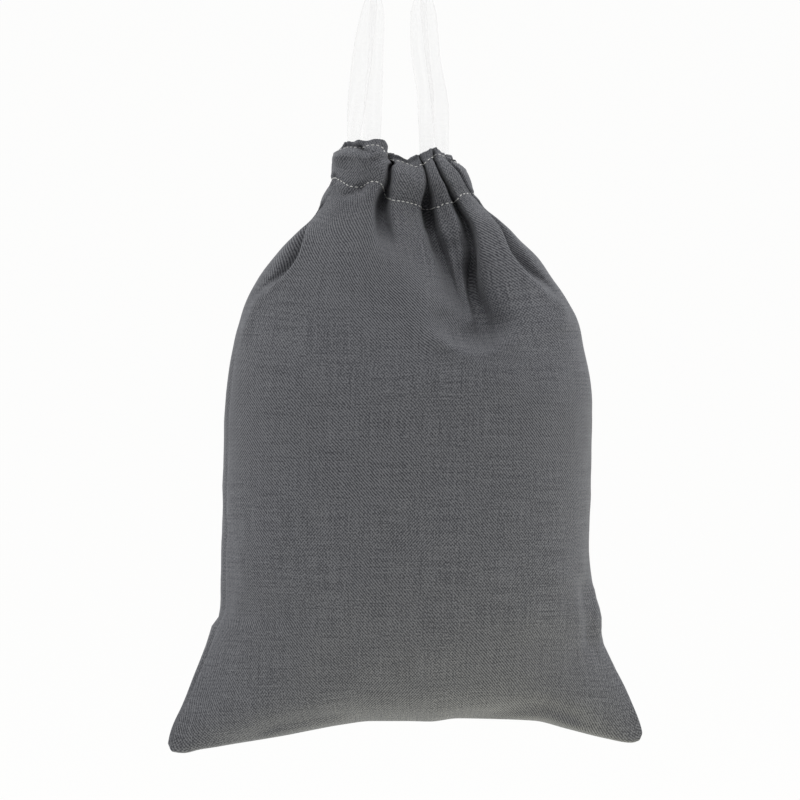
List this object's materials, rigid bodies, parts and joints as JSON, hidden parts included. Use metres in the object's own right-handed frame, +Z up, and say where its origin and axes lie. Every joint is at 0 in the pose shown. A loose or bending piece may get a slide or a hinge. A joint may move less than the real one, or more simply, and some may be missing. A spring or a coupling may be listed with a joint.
{
  "type": "linen drawstring bag",
  "caption": "Gathered cloth drawstring bag with a filled-out body, flat bottom corners, a pleated casing at the mouth and sheer ribbons knotted into loops to hang it by",
  "frame": {"origin": "midway between the two ribbon knots that the bag hangs from", "axes": "+Z up, the front of the bag faces -Y, X runs across its width"},
  "size_m": [0.2939, 0.1391, 0.4855],
  "materials": {
    "linen": "matt plain weave, dark slate grey",
    "organza": "sheer white ribbon with a soft sheen"
  },
  "bodies": {
    "root": {"bag_cloth": "linen", "ribbon_left": "organza", "ribbon_right": "organza"}
  },
  "joints": []
}
